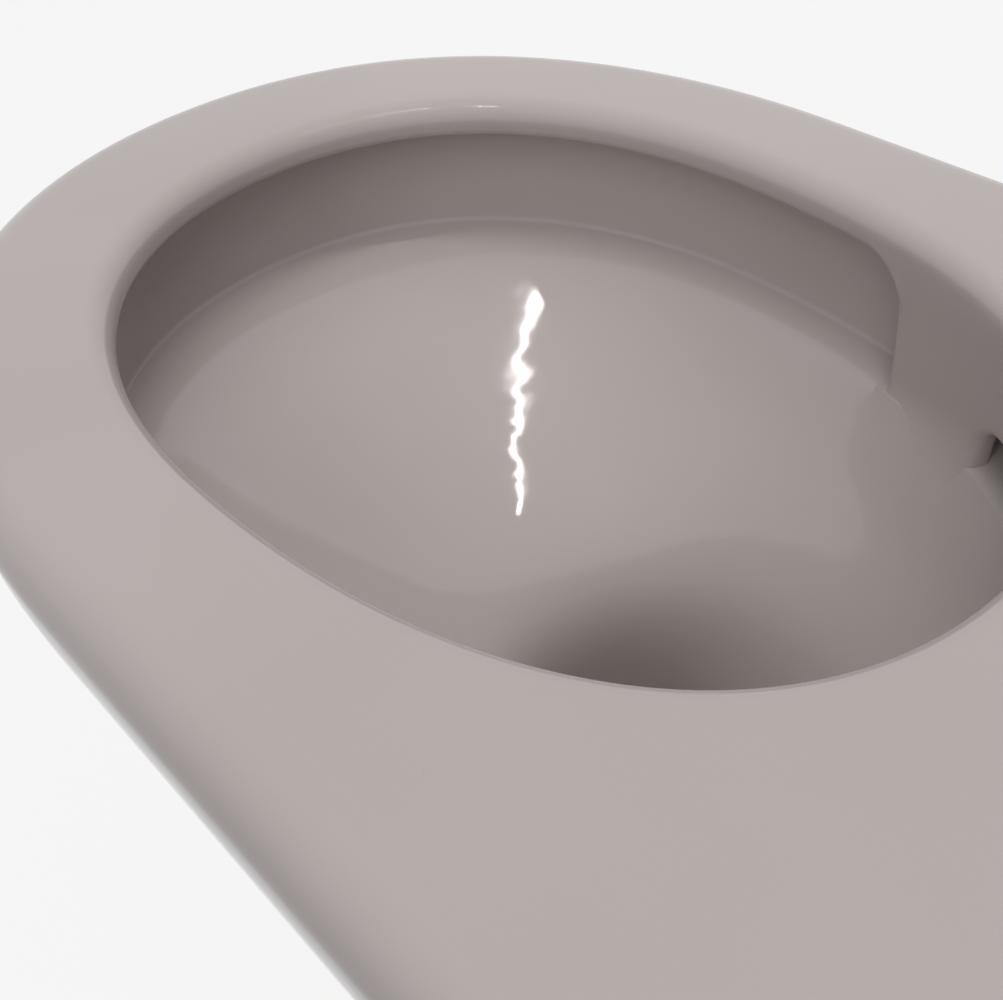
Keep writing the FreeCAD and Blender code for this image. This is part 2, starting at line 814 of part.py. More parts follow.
waste_seal_in = "spigot_diameter / 2 + seal_clearance"
waste_seal_out = "spigot_diameter / 2 + seal_clearance + outlet_seal_wall"
waste_seal_end = "outlet_seal_length + outlet_seal_lip"
sub_parts.append(turned("outlet_seal", rows(
    (waste_seal_in, "0"),
    (waste_seal_out, "0"),
    (waste_seal_out, waste_seal_end),
    ("trap_bore / 2 + outlet_seal_lip", waste_seal_end),
    ("trap_bore / 2 + outlet_seal_lip", "outlet_seal_length"),
    (waste_seal_in, "outlet_seal_length"),
), (0, SPIGOT_END - size("outlet_seal_length"), OUTLET_HEIGHT)))

bell_in = f"{waste_seal_out} + seal_clearance"
bell_out = f"{bell_in} + outlet_bell_wall"
waste_radius = "outlet_pipe_diameter / 2"
bell_end = "outlet_bell_length + outlet_seal_lip"
cone_end = f"{bell_end} + outlet_cone_length"
waste_collar_end = "outlet_bell_length + spigot_from_wall - collar_from_wall"
waste_end = "outlet_bell_length + spigot_from_wall + outlet_pipe_in_wall"
sub_parts.append(turned("outlet_pipe", rows(
    (bell_in, "0"),
    (bell_out, "0"),
    (bell_out, bell_end),
    (f"{waste_radius} + pipe_collar", cone_end),
    (f"{waste_radius} + pipe_collar", waste_collar_end),
    (waste_radius, waste_collar_end),
    (waste_radius, waste_end),
    (f"{waste_radius} - outlet_pipe_wall", waste_end),
    (f"{waste_radius} - outlet_pipe_wall", bell_end),
    (bell_in, bell_end),
), (0, SPIGOT_END - size("outlet_bell_length"), OUTLET_HEIGHT)))

# Sound pad

pad_slab = box(
    "pad_slab",
    (-size("pan_width"), BACK, FOOT - OVERCUT),
    (size("pan_width"), 0, RIM - size("pad_top_gap")),
)
pad_blank = common("pad_blank", [rounded_body, pad_slab])
half_studs = size("stud_spacing") / 2
pad_holes = fuse("pad_holes", [
    cylinder_along_y(
        "pad_hole", f"sizes.{diameter} / 2 + sizes.pad_hole_clearance", x, z, BACK - OVERCUT, OVERCUT,
    )
    for diameter, x, z in (
        ("inlet_pipe_diameter", 0, INLET_HEIGHT),
        ("outlet_pipe_diameter", 0, OUTLET_HEIGHT),
        ("thread_diameter", -half_studs, 0),
        ("thread_diameter", half_studs, 0),
    )
])
sub_parts.append(cut("sound_pad", pad_blank, pad_holes))
doc.recompute()

# Checks and files

os.makedirs("parts", exist_ok=True)
for item in doc.Objects:
    if "Invalid" in item.State or "Error" in item.State:
        raise RuntimeError(f"{item.Name} failed: {item.State}")
for item in sub_parts:
    if item.Shape.isNull() or not item.Shape.isValid():
        raise RuntimeError(f"{item.Label} has no valid shape")
for item in sub_parts:
    item.Shape.exportStep(f"parts/{item.Label}.step")
    print(item.Label, len(item.Shape.Solids), "solid,", round(item.Shape.Volume / 1000, 1), "cm3")
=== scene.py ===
import logging
import math
from contextlib import contextmanager
from dataclasses import dataclass
from enum import Enum
from typing import Any, Iterator, Optional, Sequence, Union

import bpy
import numpy as np
from mathutils import Matrix, Vector


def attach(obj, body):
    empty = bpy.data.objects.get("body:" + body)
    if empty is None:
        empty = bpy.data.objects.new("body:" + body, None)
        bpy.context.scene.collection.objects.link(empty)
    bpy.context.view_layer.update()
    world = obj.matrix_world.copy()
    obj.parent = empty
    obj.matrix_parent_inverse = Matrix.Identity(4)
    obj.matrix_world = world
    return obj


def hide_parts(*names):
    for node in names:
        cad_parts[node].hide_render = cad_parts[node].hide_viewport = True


# A wall-hung rimless pan in glazed china, with its wall fixings, pipes, seals and foam mat.
# Metres throughout. The wall is the plane y = 0, the front points to -Y and the studs lie at z = 0.

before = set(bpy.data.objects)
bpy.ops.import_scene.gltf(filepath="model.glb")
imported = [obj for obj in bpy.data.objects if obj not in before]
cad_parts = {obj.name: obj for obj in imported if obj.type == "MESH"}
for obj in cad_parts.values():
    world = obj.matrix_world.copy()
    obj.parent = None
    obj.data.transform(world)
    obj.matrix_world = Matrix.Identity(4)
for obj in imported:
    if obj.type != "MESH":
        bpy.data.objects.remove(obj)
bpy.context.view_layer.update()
LOG = logging.getLogger("rimless_pan")
Number = Union[float, "Signal"]
Colour = tuple[float, float, float]
Place = tuple[float, float, float]
Span = tuple[float, float]
Ring = tuple[float, float, float, float]
Weave = tuple[float, float, float]
WHITE = (1.0, 1.0, 1.0)
WELD = 1e-6
JOIN_WELD = 2e-6
SMOOTH_ANGLE = 38.0
PIPE_SIDES = 96


class Side(Enum):
    """The two sides of the pan, with the sign of X on each."""

    LEFT = -1
    RIGHT = 1


# Mesh helpers

def clear_selection() -> None:
    """Leaves edit mode and deselects every object."""
    if bpy.context.object is not None and bpy.context.object.mode != "OBJECT":
        bpy.ops.object.mode_set(mode="OBJECT")
    bpy.ops.object.select_all(action="DESELECT")


def take(item: bpy.types.Object) -> None:
    """Makes one object the only selected and the active one."""
    clear_selection()
    item.select_set(True)
    bpy.context.view_layer.objects.active = item


def settle(item: bpy.types.Object) -> None:
    """Moves an object's place into its mesh, so that it sits at the origin."""
    take(item)
    bpy.ops.object.transform_apply(location=True, rotation=True, scale=True)


@contextmanager
def editing(item: bpy.types.Object, mode: str = "", start: str = "") -> Iterator[None]:
    """Opens an object's mesh for editing.

    Args:
        item: The object.
        mode: What can be selected, EDGE or FACE, where that matters.
        start: SELECT for everything, DESELECT for nothing; otherwise the selection stays.
    """
    take(item)
    bpy.ops.object.mode_set(mode="EDIT")
    if mode:
        bpy.ops.mesh.select_mode(type=mode)
    if start:
        bpy.ops.mesh.select_all(action=start)
    yield
    bpy.ops.object.mode_set(mode="OBJECT")


def pick_nothing(item: bpy.types.Object, mode: str) -> None:
    """Deselects the whole of an object's mesh, so that EDGE or FACE elements can be picked."""
    with editing(item, mode, "DESELECT"):
        pass


def apply_modifier(item: bpy.types.Object, kind: str, **settings: Any) -> None:
    """Adds a modifier to an object and applies it.

    Args:
        item: The object.
        kind: The modifier's type.
        settings: Values for the modifier's own fields.
    """
    take(item)
    modifier = item.modifiers.new(kind.lower(), kind)
    for name, value in settings.items():
        setattr(modifier, name, value)
    bpy.ops.object.modifier_apply(modifier=modifier.name)


def carve(item: bpy.types.Object, cutter: bpy.types.Object) -> None:
    """Cuts one object out of another and removes the cutter."""
    apply_modifier(item, "BOOLEAN", operation="DIFFERENCE", solver="EXACT", object=cutter)
    bpy.data.objects.remove(cutter)


def round_bar(name: str, radius: float, start: Vector, end: Vector, sides: int = 64) -> bpy.types.Object:
    """A round bar between two points.

    Args:
        name: The new object's name.
        radius: The bar's radius.
        start: The middle of one end.
        end: The middle of the other end.
        sides: How many sides the round has.

    Returns:
        The bar, with its place in its mesh.
    """
    clear_selection()
    along = end - start
    bpy.ops.mesh.primitive_cylinder_add(
        vertices=sides, radius=radius, depth=along.length, location=(start + end) / 2,
        rotation=along.to_track_quat("Z", "Y").to_euler(),
    )
    bar = bpy.context.object
    bar.name = name
    settle(bar)
    return bar


# The pan's forms

def quarter_oval(step: np.ndarray, half: Any, full: Any, stops: Sequence[Any]) -> tuple[Any, Any]:
    """X and Y along a quarter of an oval, from step 0 at its tip to 1 at its widest line.

    The stops are where its tip, its elbow and its widest line lie along Y.
    """
    tip, elbow, widest = stops
    rest = 1 - step
    x = half * (3 * full * step * rest ** 2 + 3 * step ** 2 * rest + step ** 3)
    y = tip * (rest ** 3 + 3 * step * rest ** 2)
    return x, y + elbow * 3 * step ** 2 * rest + widest * step ** 3


@dataclass
class Mouth:
    """The oval opening and the open channel under its lip.

    Offsets are measured outwards from the opening's own outline. The curtain is the sheet of china that
    hangs from the lip along the back, and the window is the gap under its middle.
    """

    half_width: float = 0.1235
    front: float = -0.467
    back: float = -0.135
    widest_share: float = 0.461
    front_fullness: float = 0.598
    back_fullness: float = 0.632
    rim: float = 0.090
    rim_ring: float = 0.016
    top_radius: float = 0.009
    lip_under: float = 0.076
    edge_radius: float = 0.0032
    undercut: float = 0.020
    roof_radius: float = 0.009
    wall_foot: float = 0.016
    cove_radius: float = 0.0018
    shelf: float = 0.027
    ledge: float = 0.022
    ledge_offset: float = 0.001
    ledge_radius: float = 0.004
    ledge_rise: float = 0.0012
    curtain_thickness: float = 0.010
    curtain_end: float = 0.071
    curtain_corner: float = 0.020
    curtain_foot: float = -0.008
    lean: float = 0.046
    cove_width: float = 0.007
    cove_least: float = 0.0008
    cove_fade: float = 0.035
    cove_sink: float = 0.0015
    window_start: float = 0.118
    window_top: float = 0.044
    window_corner: float = 0.012
    chamber_half: float = 0.059
    chamber_depth: float = 0.050
    chamber_blend: float = 0.016
    run_steps: int = 2000

    @property
    def widest(self) -> float:
        """Where along Y the opening is widest."""
        return self.front + self.widest_share * (self.back - self.front)

    def oval(self, turn: np.ndarray, half: Any, front: Any, back: Any) -> np.ndarray:
        """Points on half of an oval.

        Args:
            turn: 0 at the front tip, 1 at the widest line and 2 at the back tip.
            half: Half the oval's width.
            front: Its front tip along Y.
            back: Its back tip along Y.

        Returns:
            X and Y of each point, in two columns.
        """
        ahead = turn <= 1
        step = np.where(ahead, turn, 2 - turn)
        tip = np.where(ahead, front, back)
        full = np.where(ahead, self.front_fullness, self.back_fullness)
        widest = front + self.widest_share * (back - front)
        stops = (tip, widest + full * (tip - widest), widest)
        return np.column_stack(quarter_oval(step, half, full, stops))

    def outline(self, turn: np.ndarray, offset: Any) -> np.ndarray:
        """Points on half of the opening's outline, grown by an offset."""
        return self.oval(turn, self.half_width + offset, self.front - offset, self.back + offset)


@dataclass
class LipEdge:
    """The lower edge of the lip and curtain, along half of the opening.

    Each array has one value for each point: its run along the opening, its height, the way in which the
    edge faces, how far it belongs to the curtain, and the run of the point above it on the rim. The curtain
    starts at a run.
    """

    run: np.ndarray
    height: np.ndarray
    faces_run: np.ndarray
    faces_height: np.ndarray
    curtain: np.ndarray
    rim_run: np.ndarray
    curtain_start: float


@dataclass
class Basin:
    """The bowl below the ledge: each ring is height, half width, front and back."""

    rings: tuple[Ring, ...] = (
        (-0.0103, 0.0987, -0.4040, -0.1429),
        (-0.0362, 0.0745, -0.3520, -0.1602),
        (-0.0651, 0.0561, -0.3105, -0.1785),
        (-0.115, 0.0440, -0.300, -0.216),
    )
    floor: Ring = (-0.228, 0.0370, -0.285, -0.231)
    knot_weights: Ring = (1.0, 0.5, 0.6, 0.6)
    row_power: float = 1.25
    bowl_rows: int = 34
    well_rows: int = 8
    lift: float = 0.0006
    lift_rows: int = 4


@dataclass
class Outside:
    """The pan's outside: a tongue in plan that narrows to its foot."""

    half_width: float = 0.180
    reach: float = 0.534
    nose: float = 0.220
    nose_fullness: float = 0.593
    foot_half_width: float = 0.068
    foot_reach: float = 0.300
    foot: float = -0.260
    foot_radius: float = 0.004
    taper_power: float = 1.4
    edge_radius: float = 0.016
    back: float = -0.004
    back_radius: float = 0.003
    foot_rows: int = 5
    side_rows: int = 34
    edge_rows: int = 14
    nose_share: float = 0.46
    side_share: float = 0.36

    def taper(self, height: float, rim: float) -> float:
        """How much of the rim's size is left at a height, from 0 at the foot to 1 below the rim's edge."""
        top = rim - self.edge_radius
        rise = min(1.0, max(0.0, (height - self.foot) / (top - self.foot)))
        return (1 - math.cos(math.pi * rise ** self.taper_power)) / 2

    def outline(self, height: float, inset: float, rim: float, steps: int) -> np.ndarray:
        """Points on half of the outside at a height.

        Args:
            height: The height.
            inset: How far the outline is drawn in, as over a rounded edge.
            rim: The height of the rim's top.
            steps: How many steps the half outline has.

        Returns:
            X, Y and Z of each point, from the front tip to the middle of the back.
        """
        share = self.taper(height, rim)
        half = self.foot_half_width + (self.half_width - self.foot_half_width) * share
        reach = self.foot_reach + (self.reach - self.foot_reach) * share
        nose = self.nose * half / self.half_width - inset
        half -= inset
        reach -= inset
        back = self.back
        over = height - (rim - self.back_radius)
        if over > 0:
            back -= self.back_radius - math.sqrt(max(0.0, self.back_radius ** 2 - over ** 2))
        nose_steps = round(steps * self.nose_share)
        side_steps = round(steps * self.side_share)
        back_steps = steps - nose_steps - side_steps
        step = np.linspace(0, 1, nose_steps + 1)
        full = self.nose_fullness
        shoulder = nose - reach
        x, y = quarter_oval(step, half, full, (-reach, shoulder - full * nose, shoulder))
        side_y = np.linspace(shoulder, back, side_steps + 1)[1:]
        back_x = np.linspace(half, 0, back_steps + 1)[1:]
        x = np.concatenate((x, np.full(side_steps, half), back_x))
        y = np.concatenate((y, side_y, np.full(back_steps, back)))
        return np.column_stack((x, y, np.full(len(x), height)))


def smooth_through(knots: np.ndarray, values: np.ndarray, at: np.ndarray) -> np.ndarray:
    """A natural cubic spline through some values.

    Args:
        knots: Where the values are, rising.
        values: One row for each knot.
        at: Where the spline is wanted.

    Returns:
        One row for each wanted place.
    """
    count = len(knots)
    gap = np.diff(knots)
    matrix = np.eye(count)
    right = np.zeros_like(values)
    for index in range(1, count - 1):
        matrix[index, index - 1] = gap[index - 1]
        matrix[index, index] = 2 * (gap[index - 1] + gap[index])
        matrix[index, index + 1] = gap[index]
        rise = (values[index + 1] - values[index]) / gap[index]
        before = (values[index] - values[index - 1]) / gap[index - 1]
        right[index] = 6 * (rise - before)
    bend = np.linalg.solve(matrix, right)
    cell = np.clip(np.searchsorted(knots, at) - 1, 0, count - 2)
    low, high = knots[cell], knots[cell + 1]
    width = (high - low)[:, None]
    ahead = (high - at)[:, None]
    behind = (at - low)[:, None]
    curve = (bend[cell] * ahead ** 3 + bend[cell + 1] * behind ** 3) / (6 * width)
    curve = curve + (values[cell] / width - bend[cell] * width / 6) * ahead
    return curve + (values[cell + 1] / width - bend[cell + 1] * width / 6) * behind


@dataclass
class Rows:
    """How finely the lip's edge and the profile over it are divided."""

    lip_steps: int = 67
    corner_steps: int = 13
    end_steps: int = 13
    foot_steps: int = 12
    window_side_steps: int = 8
    window_corner_steps: int = 9
    window_steps: int = 26
    spread: int = 9
    top: int = 11
    hang: int = 21
    edge_front: int = 6
    edge_back: int = 5
    roof: int = 8
    wall: int = 7
    cove: int = 6
    shelf: int = 5
    soft_above: int = 4
    soft_below: int = 7
    soft_passes: int = 7
    core_plan: int = 401


@dataclass
class Pan:
    """The china pan, one casting: outside, rim, lip, curtain, channel, ledge, bowl and sump."""

    mouth: Mouth
    basin: Basin
    outside: Outside
    rows: Rows
    rim_join: float = 0.030
    core_depth: float = 0.020
    stud_half_spacing: float = 0.090
    stud_hole_radius: float = 0.012
    stud_hole_past: float = 0.004
    flange_front: float = -0.064
    notch_length: float = 0.078
    notch_half_height: float = 0.033
    notch_inner: float = 0.066
    notch_radius: float = 0.014
    notch_segments: int = 8
    seat_half_spacing: float = 0.0775
    seat_from_wall: float = 0.072
    seat_hole_radius: float = 0.0075
    seat_hole_depth: float = 0.036
    inlet_height: float = 0.035
    inlet_radius: float = 0.0275
    inlet_depth: float = 0.0855
    outlet_height: float = -0.100
    outlet_pocket_radius: float = 0.062
    outlet_pocket_depth: float = 0.062
    spigot_radius: float = 0.051
    spigot_bore: float = 0.040
    spigot_end: float = -0.020
    over: float = 0.020

    def lip_edge(self) -> LipEdge:
        """Runs along the lip's lower edge, down the curtain's end, and up round the window in its middle.

        Returns:
            The edge's points from the front tip to the back tip.
        """
        mouth, count = self.mouth, self.rows
        turn, run = self.run_table()
        y = mouth.outline(turn, 0.0)[:, 1]
        behind = turn >= 1
        end = float(np.interp(mouth.widest + mouth.curtain_end, y[behind], run[behind]))
        window = float(np.interp(mouth.widest + mouth.window_start, y[behind], run[behind]))
        corner, arch = mouth.curtain_corner, mouth.window_corner
        top, sill, low = mouth.lip_under, mouth.window_top, mouth.curtain_foot
        quarter = np.linspace(0, math.pi / 2, count.corner_steps)
        bend = np.linspace(0, math.pi / 2, count.window_corner_steps)
        pieces = [
            (np.linspace(0, end - corner, count.lip_steps), top, (0, -1), 0),
            (end - corner + corner * np.sin(quarter), top - corner + corner * np.cos(quarter), None, 1),
            (end, np.linspace(top - corner, low, count.end_steps), (-1, 0), 1),
            (np.linspace(end, window, count.foot_steps), low, (0, -1), 1),
            (window, np.linspace(low, sill - arch, count.window_side_steps), (1, 0), 1),
            (window + arch - arch * np.cos(bend), sill - arch + arch * np.sin(bend), None, 1),
            (np.linspace(window + arch, run[-1], count.window_steps), sill, (0, -1), 1),
        ]
        table = []
        for number, (along, height, facing, hangs) in enumerate(pieces):
            along, height = np.broadcast_arrays(along, height)
            for place in range(1 if number else 0, len(along)):
                if facing is None and number == 1:
                    faces = (-math.sin(quarter[place]), -math.cos(quarter[place]))
                    share = place / (len(along) - 1)
                elif facing is None:
                    faces = (math.cos(bend[place]), -math.sin(bend[place]))
                    share = 1.0
                else:
                    faces = facing
                    share = float(hangs)
                table.append((along[place], height[place], faces[0], faces[1], share))
        columns = np.array(table).T
        spread = columns[0].copy()
        width = count.spread
        padded = np.concatenate((
            2 * spread[0] - spread[width:0:-1], spread, 2 * spread[-1] - spread[-2:-width - 2:-1],
        ))
        rim_run = np.convolve(padded, np.ones(2 * width + 1) / (2 * width + 1), mode="valid")
        rim_run[0], rim_run[-1] = spread[0], spread[-1]
        return LipEdge(*columns, rim_run, end)

    def run_table(self) -> tuple[np.ndarray, np.ndarray]:
        """The run along the opening's outline for each turn of its half oval."""
        turn = np.linspace(0, 2, self.mouth.run_steps + 1)
        points = self.mouth.outline(turn, 0.0)
        steps = np.linalg.norm(np.diff(points, axis=0), axis=1)
        return turn, np.concatenate(((0.0,), np.cumsum(steps)))

    def inner_rows(self) -> list[np.ndarray]:
        """Rows of points from the rim's flat, over the lip and curtain, through the channel and to the sump.

        Returns:
            Rows of the same length, each from the front tip to the back tip.
        """
        mouth, count = self.mouth, self.rows
        quarter = math.pi / 2
        edge = self.lip_edge()
        turn_table, run_table = self.run_table()

        def turn_at(run: np.ndarray) -> np.ndarray:
            """The oval's turn at a run along the opening."""
            return np.interp(run, run_table, turn_table)

        def row(run: np.ndarray, offset: Any, height: Any) -> np.ndarray:
            """One row of points from its runs, offsets and heights."""
            plan = mouth.outline(turn_at(run), offset)
            return np.column_stack((plan, np.broadcast_to(height, run.shape)))

        rows = [row(edge.rim_run, offset, mouth.rim) for offset in (self.rim_join, mouth.rim_ring)]
        for angle in np.linspace(0, quarter, count.top):
            offset = mouth.top_radius * (1 - math.sin(angle))
            rows.append(row(edge.rim_run, offset, mouth.rim - mouth.top_radius * (1 - math.cos(angle))))
        top = mouth.rim - mouth.top_radius
        radius = mouth.edge_radius
        hang_run = edge.run - radius * edge.faces_run
        hang_height = edge.height - radius * edge.faces_height
        for share in np.linspace(0, 1, count.hang)[1:]:
            height = top + (hang_height - top) * share
            run = edge.rim_run + (hang_run - edge.rim_run) * share
            rows.append(row(run, self.hang(edge, turn_at(run), run, height), height))
        foot_lean = self.hang(edge, turn_at(hang_run), hang_run, hang_height)
        for angle in np.linspace(0, quarter, count.edge_front)[1:]:
            out = radius * math.sin(angle)
            rows.append(row(
                hang_run + out * edge.faces_run, foot_lean + radius * (1 - math.cos(angle)),
                hang_height + out * edge.faces_height,
            ))
        thick = mouth.curtain_thickness
        for angle in np.linspace(0, quarter, count.edge_back):
            back_in = radius * (1 - math.cos(angle)) * edge.curtain
            rows.append(row(
                edge.run - back_in * edge.faces_run, thick - radius * (1 - math.sin(angle)),
                edge.height - back_in * edge.faces_height,
            ))
        roof = mouth.lip_under
        flat = mouth.undercut - mouth.roof_radius
        rows.append(row(edge.rim_run, flat, roof))
        chamber = self.chamber_offsets(turn_at(edge.rim_run))
        for angle in np.linspace(0, quarter, count.roof)[1:]:
            offset = flat + mouth.roof_radius * math.sin(angle) + chamber
            rows.append(row(edge.rim_run, offset, roof - mouth.roof_radius * (1 - math.cos(angle))))
        wall_top = roof - mouth.roof_radius
        cove = mouth.cove_radius
        lean = (mouth.undercut - mouth.wall_foot) / (roof - mouth.shelf)
        wall_end = mouth.shelf + cove
        for height in np.linspace(wall_top, wall_end, count.wall)[1:]:
            rows.append(row(edge.rim_run, mouth.undercut - lean * (wall_top - height) + chamber, height))
        wall_offset = mouth.undercut - lean * (wall_top - wall_end)
        fall = (mouth.shelf - mouth.ledge) / (mouth.wall_foot - mouth.ledge_offset)
        for angle in np.linspace(0, quarter, count.cove)[1:]:
            rows.append(row(
                edge.rim_run, wall_offset - cove * (1 - math.cos(angle)) + chamber,
                wall_end - cove * math.sin(angle) - fall * cove * (1 - math.cos(angle)),
            ))
        shelf_start = wall_offset - cove
        shelf_high = wall_end - cove - fall * cove
        ledge_start = mouth.ledge_offset + mouth.ledge_radius
        ledge_high = mouth.ledge + mouth.ledge_rise
        for share in np.linspace(0, 1, count.shelf)[1:]:
            offset = (shelf_start + chamber) + (ledge_start - shelf_start - chamber) * share
            rows.append(row(edge.rim_run, offset, shelf_high + (ledge_high - shelf_high) * share))
        ledge = len(rows)
        rows.extend(self.bowl_rows(turn_at(edge.rim_run)))
        self.soften(rows, ledge - count.soft_above, ledge + count.soft_below, 1 - edge.curtain)
        return rows

    def soften(self, rows: list[np.ndarray], first: int, last: int, share: np.ndarray) -> None:
        """Rounds a stretch of the profile by drawing each row towards the rows beside it.

        Args:
            rows: The rows, which are changed in place.
            first: The first row that moves.
            last: The last row that moves.
            share: How far each point along a row takes part.
        """
        for _ in range(self.rows.soft_passes):
            drawn = [
                rows[index - 1] + rows[index + 1] - 2 * rows[index] for index in range(first, last + 1)
            ]
            for index, pull in enumerate(drawn, first):
                rows[index] = rows[index] + pull * share[:, None] / 4

    def hang(self, edge: LipEdge, turn: np.ndarray, run: np.ndarray, height: np.ndarray) -> np.ndarray:
        """How the curtain's face hangs: it leans back on to the ledge, and runs into the bowl in a soft cove.

        Args:
            edge: The lip's lower edge.
            turn: The turns of some points on the opening's outline.
            run: Their runs along it.
            height: Their heights.

        Returns:
            Their offsets from the outline.
        """
        mouth = self.mouth
        past = np.clip((run - edge.curtain_start) / mouth.cove_fade, 0, 1)
        cove = mouth.cove_least + (mouth.cove_width - mouth.cove_least) * past ** 2 * (3 - 2 * past)
        lean = mouth.lean * np.clip(mouth.lip_under - height, 0, None)
        gap = self.bowl_offset(turn, height) - lean
        joined = lean + np.minimum(0, gap) - np.clip(cove - np.abs(gap), 0, None) ** 2 / (4 * cove)
        return edge.curtain * (joined + mouth.cove_sink * np.clip((-gap - cove) / cove, 0, 1))

    def bowl_offset(self, turn: np.ndarray, height: np.ndarray) -> np.ndarray:
        """How far the bowl's surface lies outside the opening's outline at some heights."""
        mouth = self.mouth
        little = 1e-3
        face = mouth.outline(turn, 0.0)
        ahead = mouth.outline(turn + little, 0.0) - mouth.outline(turn - little, 0.0)
        along = ahead / np.linalg.norm(ahead, axis=1)[:, None]
        outward = np.column_stack((along[:, 1], -along[:, 0]))
        curve = self.bowl_curve()[:self.basin.bowl_rows // 2][::-1]
        half, front, back = (np.interp(height, curve[:, 0], curve[:, column]) for column in (1, 2, 3))
        above = np.clip(height - curve[-1, 0], 0, None)
        rise = (curve[-1] - curve[-4]) / (curve[-1, 0] - curve[-4, 0])
        bowl = mouth.oval(turn, half + above * rise[1], front + above * rise[2], back + above * rise[3])
        grown = (mouth.outline(turn, little) - face) / little
        return np.sum((bowl - face) * outward, axis=1) / np.sum(grown * outward, axis=1)

    def chamber_offsets(self, turn: np.ndarray) -> np.ndarray:
        """How much further out the channel's wall stands at the flush chamber in the middle of the back."""
        mouth = self.mouth
        plan = mouth.outline(turn, 0.0)
        inside = mouth.chamber_half + mouth.chamber_blend / 2 - np.abs(plan[:, 0])
        near = np.clip(inside / mouth.chamber_blend, 0, 1)
        behind = plan[:, 1] > mouth.widest
        return np.where(behind, near ** 2 * (3 - 2 * near), 0.0) * (mouth.chamber_depth - mouth.undercut)

    def bowl_curve(self) -> np.ndarray:
        """Height, half width, front and back of the bowl's rings, from the ledge down to the sump."""
        mouth, basin = self.mouth, self.basin
        offset = mouth.ledge_offset
        start = (mouth.ledge, mouth.half_width + offset, mouth.front - offset, mouth.back + offset)
        knots = np.array((start, *basin.rings))
        gaps = np.abs(np.diff(knots, axis=0)) @ np.array(basin.knot_weights)
        places = np.concatenate(((0.0,), np.cumsum(np.sqrt(gaps))))
        share = np.linspace(0, 1, basin.bowl_rows) ** basin.row_power
        return smooth_through(places, knots, places[-1] * share)

    def bowl_rows(self, turn: np.ndarray) -> list[np.ndarray]:
        """Rows of points from the ledge's rounded edge down the bowl and into the sump."""
        mouth, basin = self.mouth, self.basin
        rows = []
        for index, (height, half, front, back) in enumerate(self.bowl_curve()):
            ease = max(0.0, 1 - index / basin.lift_rows) ** 2
            plan = mouth.oval(turn, half, front, back)
            rows.append(np.column_stack((plan, np.full(len(turn), height + basin.lift * ease))))
        last = np.array(basin.rings[-1])
        floor = np.array(basin.floor)
        for share in np.linspace(0, 1, basin.well_rows)[1:]:
            height, half, front, back = last + (floor - last) * share
            plan = mouth.oval(turn, half, front, back)
            rows.append(np.column_stack((plan, np.full(len(turn), height))))
        return rows

    def outer_rows(self, steps: int) -> list[np.ndarray]:
        """Rows of points from the foot, up the outside and over the rounded edge to the flat of the rim."""
        outside, rim = self.outside, self.mouth.rim
        quarter = math.pi / 2
        low, high = outside.foot + outside.foot_radius, rim - outside.edge_radius
        rows = []
        for angle in np.linspace(0, quarter, outside.foot_rows):
            inset = outside.foot_radius * (1 - math.sin(angle))
            height = outside.foot + outside.foot_radius * (1 - math.cos(angle))
            rows.append(outside.outline(height, inset, rim, steps))
        for height in np.linspace(low, high, outside.side_rows)[1:]:
            rows.append(outside.outline(height, 0.0, rim, steps))
        for angle in np.linspace(0, quarter, outside.edge_rows)[1:]:
            inset = outside.edge_radius * (1 - math.cos(angle))
            height = rim - outside.edge_radius * (1 - math.sin(angle))
            rows.append(outside.outline(height, inset, rim, steps))
        return rows

    def skin(
        self, name: str, rows: Sequence[np.ndarray], cap_first: bool, cap_last: bool,
    ) -> bpy.types.Object:
        """A skin over half rows and their mirror images, with its faces pointing outwards.

        Args:
            name: The new object's name.
            rows: Rows of points on the side of positive X.
            cap_first: Whether the first row is closed with a face.
            cap_last: Whether the last row is closed with a face.
        """
        mirror = np.array((-1.0, 1.0, 1.0))
        rings = [np.concatenate((row, row[-2:0:-1] * mirror)) for row in rows]
        around = len(rings[0])
        clear_selection()
        bpy.ops.mesh.primitive_grid_add(x_subdivisions=around, y_subdivisions=len(rings) - 1, size=1)
        item = bpy.context.object
        item.name = name
        table = np.zeros((len(rings), around + 1, 3))
        for index, ring in enumerate(rings):
            table[index, :-1] = ring
            table[index, -1] = ring[0]
        item.data.vertices.foreach_set("co", table.reshape(-1))
        item.data.update()
        with editing(item, start="SELECT"):
            bpy.ops.mesh.remove_doubles(threshold=WELD)
        for wanted, height in ((cap_first, rings[0][0, 2]), (cap_last, rings[-1][0, 2])):
            if wanted:
                self.close(item, float(height))
        with editing(item, start="SELECT"):
            bpy.ops.mesh.normals_make_consistent(inside=False)
        return item

    def close(self, item: bpy.types.Object, height: float) -> None:
        """Closes the open edge that lies at a height with one face."""
        with editing(item, "EDGE", "DESELECT"):
            bpy.ops.mesh.select_non_manifold(extend=False)
        corners = item.data.vertices
        for line in item.data.edges:
            level = all(abs(corners[end].co.z - height) < WELD for end in line.vertices)
            line.select = line.select and level
        with editing(item):
            bpy.ops.mesh.edge_face_add()

